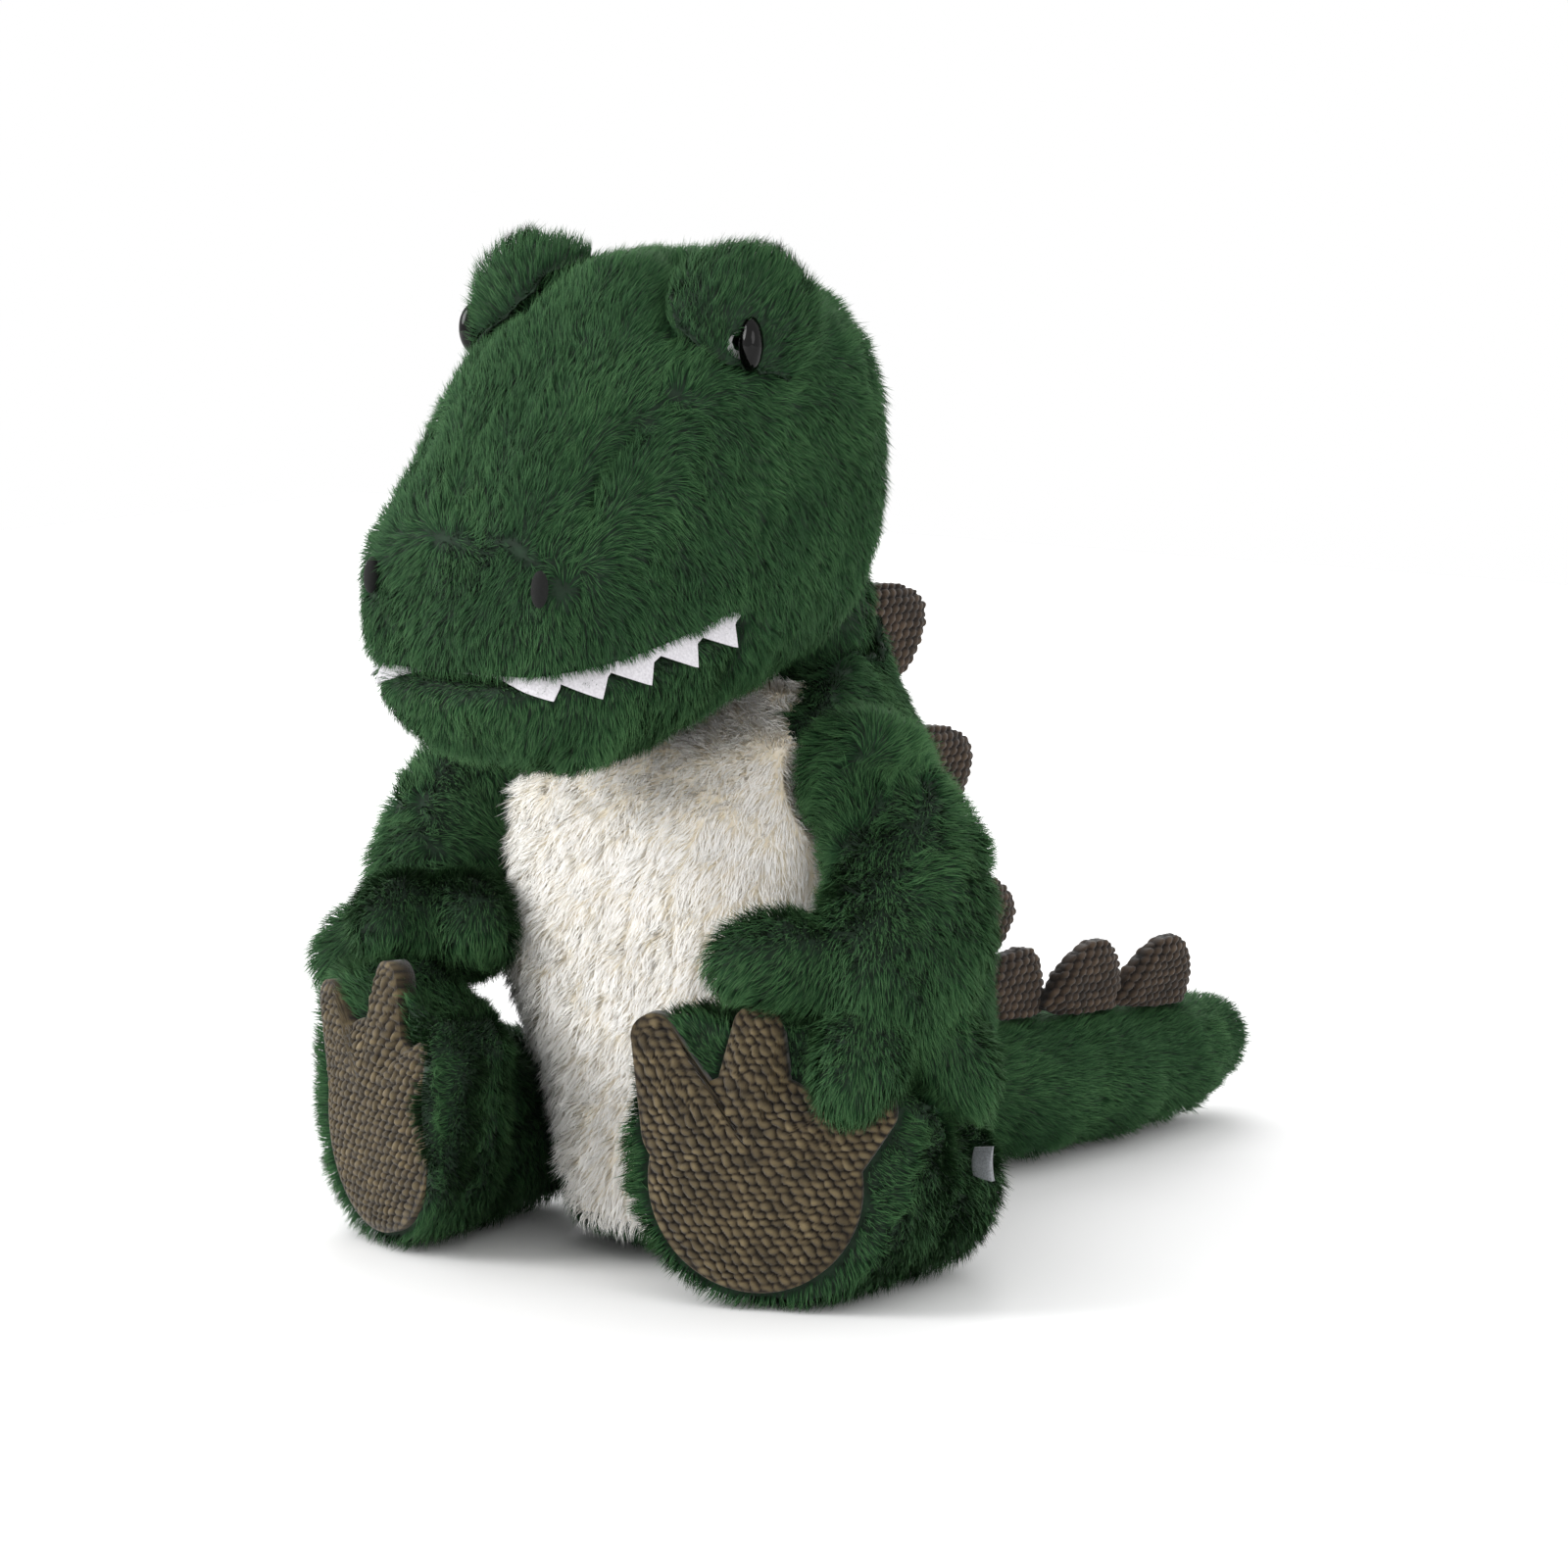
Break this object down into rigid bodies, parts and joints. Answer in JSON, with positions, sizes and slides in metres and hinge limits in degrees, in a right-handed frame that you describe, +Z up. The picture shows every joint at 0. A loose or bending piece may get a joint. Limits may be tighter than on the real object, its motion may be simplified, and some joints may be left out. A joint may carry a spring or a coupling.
{
  "type": "stuffed toy dinosaur",
  "caption": "Seated plush toy dinosaur with green fur, white belly, felt teeth, brown knit soles and back spikes, black oval eyes; head, arms, legs and tail flop on sewn joints.",
  "frame": {"origin": "on the floor under the middle of the seat, in the plane between the toy's left and right sides", "axes": "+X to the toy's own left, -Y to its front, +Z up"},
  "size_m": [0.2392, 0.3748, 0.2857],
  "materials": {
    "green_plush": "matte",
    "white_plush": "matte",
    "polyester_filling": "matte",
    "bean_bag_cloth": "matte",
    "brown_knit": "matte",
    "pale_felt": "matte",
    "black_eye_plastic": "gloss",
    "washer_plastic": "satin",
    "black_thread": "matte",
    "label_ribbon": "matte"
  },
  "bodies": {
    "body": {"body_skin": "green_plush", "belly_panel": "white_plush", "body_stuffing": "polyester_filling", "bean_bag": "bean_bag_cloth", "spike_1": "brown_knit", "spike_2": "brown_knit", "spike_3": "brown_knit"},
    "neck": {"neck_skin": "green_plush", "neck_stuffing": "polyester_filling"},
    "head": {"head_skin": "green_plush", "head_stuffing": "polyester_filling", "jaw_skin": "green_plush", "jaw_stuffing": "polyester_filling", "teeth_felt": "pale_felt", "brow_skin_left": "green_plush", "brow_skin_right": "green_plush", "brow_stuffing_left": "polyester_filling", "brow_stuffing_right": "polyester_filling", "eye_left": "black_eye_plastic", "eye_right": "black_eye_plastic", "eye_washer_left": "washer_plastic", "eye_washer_right": "washer_plastic", "nostril_left": "black_thread", "nostril_right": "black_thread"},
    "arm_left": {"arm_skin_left": "green_plush", "arm_stuffing_left": "polyester_filling"},
    "arm_right": {"arm_skin_right": "green_plush", "arm_stuffing_right": "polyester_filling"},
    "leg_left": {"leg_skin_left": "green_plush", "leg_stuffing_left": "polyester_filling", "sole_left": "brown_knit", "care_label": "label_ribbon"},
    "leg_right": {"leg_skin_right": "green_plush", "leg_stuffing_right": "polyester_filling", "sole_right": "brown_knit"},
    "tail": {"tail_skin": "green_plush", "tail_stuffing": "polyester_filling", "spike_4": "brown_knit", "spike_5": "brown_knit", "spike_6": "brown_knit"}
  },
  "joints": [
    {"name": "neck_turn", "type": "hinge", "parent": "body", "child": "neck", "pos_m": [0, -0.002, 0.178], "axis": [0, -0.4226, 0.9063], "range_deg": [-20, 20]},
    {"name": "head_nod", "type": "hinge", "parent": "neck", "child": "head", "pos_m": [0, -0.002, 0.178], "axis": [1, 0, 0], "range_deg": [-16, 0]},
    {"name": "arm_left_raise", "type": "hinge", "parent": "body", "child": "arm_left", "pos_m": [0.06395, -0.0448, 0.139], "axis": [0, -1, 0], "range_deg": [0, 50]},
    {"name": "arm_right_raise", "type": "hinge", "parent": "body", "child": "arm_right", "pos_m": [-0.06395, -0.0448, 0.139], "axis": [-0.1961, 0.9806, 0], "range_deg": [0, 50]},
    {"name": "leg_left_drop", "type": "hinge", "parent": "body", "child": "leg_left", "pos_m": [0.0442, -0.037, 0.046], "axis": [1, 0, 0], "range_deg": [0, 40]},
    {"name": "leg_right_drop", "type": "hinge", "parent": "body", "child": "leg_right", "pos_m": [-0.0442, -0.037, 0.046], "axis": [1, 0, 0], "range_deg": [0, 40]},
    {"name": "tail_wag", "type": "hinge", "parent": "body", "child": "tail", "pos_m": [0, 0.08379, 0.024], "axis": [0, 0, 1], "range_deg": [-18, 18]}
  ]
}
